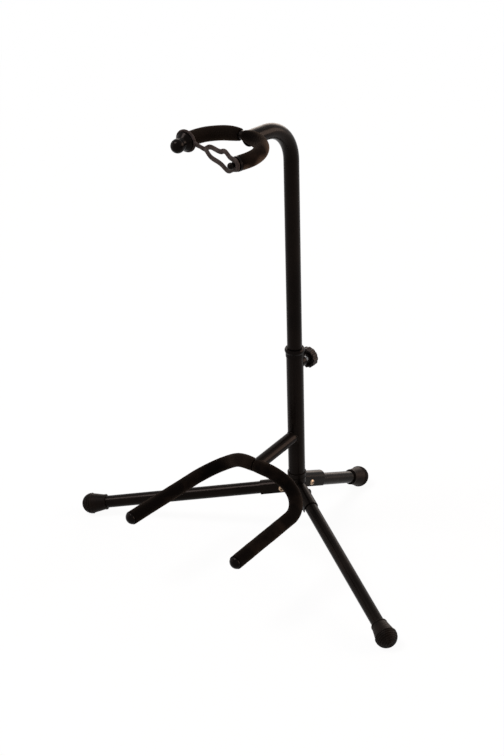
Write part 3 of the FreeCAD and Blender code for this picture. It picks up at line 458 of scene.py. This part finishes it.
# rubber strap: a flat ring on the left arm, a tail, and a slack loop that wanders to the hook's neck
strapShape = {"ringRun": -neckArm + 0.0082, "ringOuter": 0.0144, "ringInner": 0.0068, "ringThick": 0.0026,
              "ringEdge": 0.0007, "edgeAngle": math.radians(50), "ringFacets": 96,
              "rim": 0.0019, "rimFacets": 20, "tailRoot": 0.01455,
              "hookRun": neckArm + 0.0172, "sag": 0.002, "cord": 0.0035, "flat": 0.70,
              "voxel": 0.00042, "smoothing": {"factor": 0.5, "iterations": 6},
              # in millimetres from the ring towards the hook, and to the side; the tail's widths are shares
              "tail": [(-0.4, -0.8, 1.05), (4, -1.2, 0.95), (13, -1.0, 0.88), (22, -0.9, 0.95),
                       (28.5, 0, 1.0)],
              "loop": [(27, 0), (30.5, 3.2), (35, 6), (40.8, 7.6), (47.7, 8), (57.3, 8.2), (63.6, 9.3),
                       (69.5, 12.1), (74, 12.7), (78.6, 11), (83.6, 8.7), (89, 8.1), (93.5, 8.3), (98, 7.8),
                       (101.2, 5.0), (101.8, 1.2), (99.8, -2.6), (95.2, -4.5), (90.6, -6.2), (86.4, -8.7),
                       (81.8, -11.4), (77, -12.2), (71.1, -10.7), (65.1, -8.9), (56.7, -7.8), (47, -7.6),
                       (38.8, -6.8), (34.2, -5), (30.2, -2.5)]}


def drawRing(place, turn):
    look = strapShape
    deselect()
    bpy.ops.mesh.primitive_circle_add(vertices=look["ringFacets"], radius=look["ringOuter"], location=place,
                                      rotation=turn)
    ring = bpy.context.object
    bpy.ops.object.mode_set(mode="EDIT")
    bpy.ops.mesh.select_all(action="SELECT")
    bpy.ops.mesh.extrude_edges_move()
    shrink = look["ringInner"] / look["ringOuter"]
    bpy.ops.transform.resize(value=(shrink, shrink, shrink), center_override=place)
    bpy.ops.object.mode_set(mode="OBJECT")
    applyModifier(ring, "SOLIDIFY", thickness=look["ringThick"], offset=0.0)
    applyModifier(ring, "BEVEL", width=look["ringEdge"], segments=3, limit_method="ANGLE",
                  angle_limit=look["edgeAngle"])
    return ring


def makeStrap():
    look = strapShape
    ringPoint, ringWay = neckAt(look["ringRun"])
    ringTurn = ringWay.to_track_quat("Z", "Y").to_euler()
    root = ringPoint + up.cross(ringWay).normalized() * look["tailRoot"]
    across = (neckAt(look["hookRun"])[0] - up * look["sag"] - root).normalized()
    side = across.cross(up).normalized()
    place = Matrix((across, side.cross(across), side)).transposed().to_4x4()
    place.translation = root
    tail = drawTube([Vector((x / 1000, y / 1000, 0)) for x, y, _ in look["tail"]], look["cord"],
                    [w for _, _, w in look["tail"]], rounded=True)
    loop = drawTube([Vector((x / 1000, y / 1000, 0)) for x, y in look["loop"]], look["cord"], closed=True,
                    rounded=True)
    for cord in (tail, loop):
        cord.scale = (1, 1, look["flat"])
        selectOnly(cord)
        bpy.ops.object.transform_apply(location=False, rotation=False, scale=True)
        cord.matrix_world = place
        bpy.ops.object.transform_apply(location=True, rotation=True, scale=True)
    ring = drawRing(ringPoint, ringTurn)
    deselect()
    bpy.ops.mesh.primitive_torus_add(major_radius=look["ringOuter"], minor_radius=look["rim"],
                                     major_segments=look["ringFacets"], minor_segments=look["rimFacets"],
                                     location=ringPoint, rotation=ringTurn)
    rim = bpy.context.object
    selectOnly(ring)
    for part in (rim, tail, loop):
        part.select_set(True)
    bpy.ops.object.join()
    applyModifier(ring, "REMESH", mode="VOXEL", voxel_size=look["voxel"])
    applyModifier(ring, "SMOOTH", **look["smoothing"])
    settle(ring, "neckStrap", "strap")
    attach(ring, "strap")
    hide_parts("neck_strap")
    print("strap drawn")


# clamp stud: a rolled thread on a plain core; the ridge's corners are parts of the pitch
studShape = {"start": Vector((0, 0.01345, 0.286)), "length": 0.02, "pitch": 0.00125, "turns": 16, "steps": 36,
             "crest": 0.00397, "root": 0.00332, "coreProud": 0.0001, "ridge": (0, 0.42, 0.56, 0.98),
             "weld": 0.000001}


def makeStud():
    look = studShape
    radii = (look["root"], look["crest"], look["crest"], look["root"])
    profile = [Vector((radius, 0, z * look["pitch"])) for radius, z in zip(radii, look["ridge"])]
    thread = drawTube(profile, 0, closed=True)
    applyModifier(thread, "SCREW", axis="Z", angle=math.tau, screw_offset=look["pitch"],
                  iterations=look["turns"], steps=look["steps"], render_steps=look["steps"],
                  use_smooth_shade=True)
    mend(thread, look["weld"])
    deselect()
    bpy.ops.mesh.primitive_cylinder_add(vertices=look["steps"], radius=look["root"] + look["coreProud"],
                                        depth=look["length"], location=(0, 0, look["length"] / 2))
    core = bpy.context.object
    bpy.ops.object.transform_apply(location=True, rotation=True, scale=True)
    thread.select_set(True)
    bpy.ops.object.join()
    core.rotation_euler = (-math.pi / 2, 0, 0)
    core.location = look["start"]
    settle(core, "clampThread", "stud")
    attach(core, "clamp_screw")
    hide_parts("clamp_stud")
    print("stud drawn")


# rubber feet: a lipped collar widening to a ball with moulded rings, turned about the leg;
# the profile is in millimetres, with the lip's and the cone's corners as steps from the sizes before them
footShape = {"bore": 9.575, "socket": -4.95, "mouth": -24.0, "lip": 12.2, "lipLength": 2.1, "neck": 11.75,
             "lipFront": [(-0.5, 0), (-0.12, 0.15), (0, 0.5)], "lipBack": [(0, -0.35), (-0.15, 0)],
             "neckFoot": 0.25, "coneFoot": (0.1, 0.9), "coneSteps": 12,
             "ball": 15.5, "ballStart": -math.radians(11.5),  # where the cone runs into it
             "rings": (-2.2, 22.1), "pitch": 3.1, "ringDepth": 0.9, "ringShape": (0.5, 0.8), "step": 0.3,
             "facets": 96, "weld": 0.00001, "cutGap": 0.000001,
             # the ball's centre in metres, and the leg's way
             "places": {"left": ((-0.284887, -0.160526, 0.016), (-0.855053, -0.481798, -0.191715)),
                        "right": ((0.284887, -0.160526, 0.016), (0.855053, -0.481798, -0.191715)),
                        "rear": ((0, 0.156, 0.016), (0, 0.913501, -0.406836))}}


def footProfile():
    look = footShape
    mouth, lip, neck, ball, start = (look[k] for k in ("mouth", "lip", "neck", "ball", "ballStart"))
    lipEnd = mouth + look["lipLength"]
    points = [(0, look["socket"]), (look["bore"], look["socket"]), (look["bore"], mouth)]
    points.extend((lip + x, mouth + z) for x, z in look["lipFront"])
    points.extend((lip + x, lipEnd + z) for x, z in look["lipBack"])
    points.append((neck, lipEnd + look["neckFoot"]))
    coneX, coneZ = neck + look["coneFoot"][0], lipEnd + look["coneFoot"][1]
    ballX, ballZ = ball * math.cos(start), ball * math.sin(start)
    steps = look["coneSteps"]
    points.extend((coneX + (ballX - coneX) * i / steps, coneZ + (ballZ - coneZ) * i / steps)
                  for i in range(steps))
    count = round(ball * (math.pi / 2 - start) / look["step"])
    firstRing, lastRing = look["rings"]
    level, steepness = look["ringShape"]
    for i in range(count):
        turn = start + (math.pi / 2 - start) * i / count
        run = ball * turn
        wave = math.cos(math.tau * (run - firstRing) / look["pitch"] + math.pi)
        inside = firstRing < run < lastRing
        radius = ball + (look["ringDepth"] * min(1, max(0, level + steepness * wave)) if inside else 0)
        points.append((radius * math.cos(turn), radius * math.sin(turn)))
    points.append((0, ball))
    return points


def makeFeet():
    look = footShape
    boot = drawTube([Vector((x / 1000, 0, z / 1000)) for x, z in footProfile()], 0)
    applyModifier(boot, "SCREW", axis="Z", angle=math.tau, screw_offset=0.0, iterations=1,
                  steps=look["facets"], render_steps=look["facets"], use_merge_vertices=True,
                  merge_threshold=look["weld"], use_smooth_shade=True)
    mend(boot, look["weld"])
    for side, (centre, way) in look["places"].items():
        foot = boot.copy()
        foot.data = boot.data.copy()
        bpy.context.scene.collection.objects.link(foot)
        foot.rotation_euler = Vector(way).to_track_quat("Z", "Y").to_euler()
        foot.location = centre
        settle(foot, "footBoot" + side.title(), "foot")
        bpy.ops.object.mode_set(mode="EDIT")
        bpy.ops.mesh.select_all(action="SELECT")
        bpy.ops.mesh.bisect(plane_co=(0, 0, 0), plane_no=(0, 0, 1), use_fill=True, clear_inner=True,
                            threshold=look["cutGap"])  # flat where it stands
        bpy.ops.object.mode_set(mode="OBJECT")
        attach(foot, "leg_" + side)
        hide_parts("leg_foot_" + side)
    removeObject(boot)
    print("feet drawn")


# weld beads where a round spur meets the column
welds = {
    "stubWeld": {"from": Vector((0, 0, 0.168)), "to": Vector((0, -0.0945, 0.1584)), "radius": 0.0097,
                 "bead": 0.00085},
    "nutWeld": {"from": Vector((0, 0, 0.286)), "to": Vector((0, 0.02, 0.286)), "radius": 0.0081,
                "bead": 0.0007},
}
# ripple and wander: a share of the bead's width, waves round the bead, and a shift
beadShape = {"columnRadius": 0.0128, "points": 120, "ripple": (0.16, 19, 0), "wander": (0.12, 7, 1)}


def makeWeld(name):
    look = welds[name]
    ahead = (look["to"] - look["from"]).normalized()
    aside = ahead.cross(up).normalized()
    above = aside.cross(ahead)
    points, widths = [], []
    for i in range(beadShape["points"]):
        angle = math.tau * i / beadShape["points"]
        spot = look["from"] + (aside * math.cos(angle) + above * math.sin(angle)) * look["radius"]
        flat = Vector((ahead.x, ahead.y))
        here = Vector((spot.x, spot.y))  # from here along the spur to the column's skin
        a, b, c = flat.dot(flat), 2 * here.dot(flat), here.dot(here) - beadShape["columnRadius"] ** 2
        points.append(spot + ahead * ((-b + math.sqrt(b * b - 4 * a * c)) / (2 * a)))
        waves = (beadShape["ripple"], beadShape["wander"])
        widths.append(1 + sum(depth * math.sin(angle * count + shift) for depth, count, shift in waves))
    bead = drawTube(points, look["bead"], widths, closed=True)
    settle(bead, name, "coat")
    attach(bead, "base")


makeFoamSleeves()
makeStrap()
makeStud()
makeFeet()
for weld in welds:
    makeWeld(weld)
print("welds drawn")


# floor and sky: white to the eye, with a soft shadow that fades out far from the object
stageLook = {"floorSize": 60.0, "floorDrop": 0.0003, "floorColour": (0.95, 0.94, 0.93), "floorGlow": 0.94,
             "shadowReach": (0.8, 2.4), "skyDiffuse": 0.25, "white": (1, 1, 1, 1)}


def seenDirectly(tree):  # 1 for camera, glossy and transmission rays
    path = tree.nodes.new("ShaderNodeLightPath").outputs
    kinds = ("Camera", "Glossy", "Transmission")
    camera, glossy, through = (Wire(tree, path[f"Is {kind} Ray"]) for kind in kinds)
    return camera + glossy + through


def makeFloor():
    deselect()
    bpy.ops.mesh.primitive_plane_add(size=stageLook["floorSize"], location=(0, 0, -stageLook["floorDrop"]))
    floor = bpy.context.object
    floor.name = "studioFloor"
    material = bpy.data.materials.new("paleFloor")
    material.use_nodes = True
    tree = material.node_tree
    tree.nodes.clear()
    start = Wire(tree)
    seen = seenDirectly(tree)
    matte = start.node("ShaderNodeBsdfDiffuse", {"Color": stageLook["floorColour"] + (1,)})
    glow = start.node("ShaderNodeEmission", {"Color": stageLook["white"], "Strength": 1.0})
    place = start.node("ShaderNodeTexCoord", give="Object")
    away = start.fade(start.apart(place, (0, 0, 0)), *stageLook["shadowReach"])
    share = stageLook["floorGlow"] + (1 - stageLook["floorGlow"]) * away
    surface = start.node("ShaderNodeMixShader", {0: seen * share, 1: matte, 2: glow})
    tree.links.new(surface.socket, tree.nodes.new("ShaderNodeOutputMaterial").inputs["Surface"])
    floor.data.materials.append(material)


def makeSky():
    world = bpy.data.worlds.new("studioWorld")
    bpy.context.scene.world = world
    world.use_nodes = True
    tree = world.node_tree
    tree.nodes.clear()
    start = Wire(tree)
    reach = {"Value": seenDirectly(tree), "To Min": stageLook["skyDiffuse"], "To Max": 1.0}
    strength = start.node("ShaderNodeMapRange", reach)
    sky = start.node("ShaderNodeBackground", {"Color": stageLook["white"], "Strength": strength})
    tree.links.new(sky.socket, tree.nodes.new("ShaderNodeOutputWorld").inputs["Surface"])


lamps = {
    "softOverhead": {"place": (-1.9, -2.5, 5.75), "size": 2.4, "power": 270, "aim": (0, 0, 0.1),
                     "colour": (0.97, 0.96, 1)},
    "sideLeft": {"place": (-5.4, -3.6, 2.0), "size": 6.0, "power": 80, "aim": (0, 0, 0.35),
                 "colour": (1, 0.84, 0.72)},
    "sideRight": {"place": (4.8, 4.5, 1.9), "size": 6.0, "power": 560, "aim": (0, 0, 0.35),
                  "colour": (1, 0.80, 0.67)},
    "rimBack": {"place": (-3.3, 6.0, 1.7), "size": 4.8, "power": 215, "aim": (0, 0, 0.35),
                "colour": (1, 0.84, 0.72)},
}


def makeLamps():
    for name, look in lamps.items():
        deselect()
        way = Vector(look["aim"]) - Vector(look["place"])
        bpy.ops.object.light_add(type="AREA", location=look["place"],
                                 rotation=way.to_track_quat("-Z", "Y").to_euler())
        lamp = bpy.context.object
        lamp.name = name
        lamp.data.shape = "DISK"
        lamp.data.size = look["size"]
        lamp.data.energy = look["power"]
        lamp.data.color = look["colour"]


# the photograph's viewpoint: degrees, metres, and a focal length in pixels of a 504 x 756 frame
viewpoint = {"azimuth": 40.534, "pitch": 28.704, "roll": -1.76, "focal": 1824.84, "tall": 756, "sensor": 36.0,
             "farthest": 100, "place": (1.49109, -1.84210, 1.56364)}


def makeCamera():
    azimuth, pitch, roll = (math.radians(viewpoint[k]) for k in ("azimuth", "pitch", "roll"))
    level = math.cos(pitch)
    ahead = Vector((-math.sin(azimuth) * level, math.cos(azimuth) * level, -math.sin(pitch)))
    across = Vector((math.cos(azimuth), math.sin(azimuth), 0))
    above = across.cross(ahead)
    acrossRolled = across * math.cos(roll) + above * math.sin(roll)
    aboveRolled = above * math.cos(roll) - across * math.sin(roll)
    camera = bpy.data.objects.new("photoCamera", bpy.data.cameras.new("photoCamera"))
    bpy.context.scene.collection.objects.link(camera)
    turn = Matrix((acrossRolled, aboveRolled, -ahead)).transposed().to_4x4()
    camera.matrix_world = Matrix.Translation(viewpoint["place"]) @ turn
    camera.data.sensor_fit = "VERTICAL"
    camera.data.sensor_height = viewpoint["sensor"]
    camera.data.lens = viewpoint["focal"] / viewpoint["tall"] * viewpoint["sensor"]
    camera.data.clip_end = viewpoint["farthest"]
    bpy.context.scene.camera = camera


makeFloor()
makeSky()
makeLamps()
makeCamera()
print("stage, lamps and camera set")
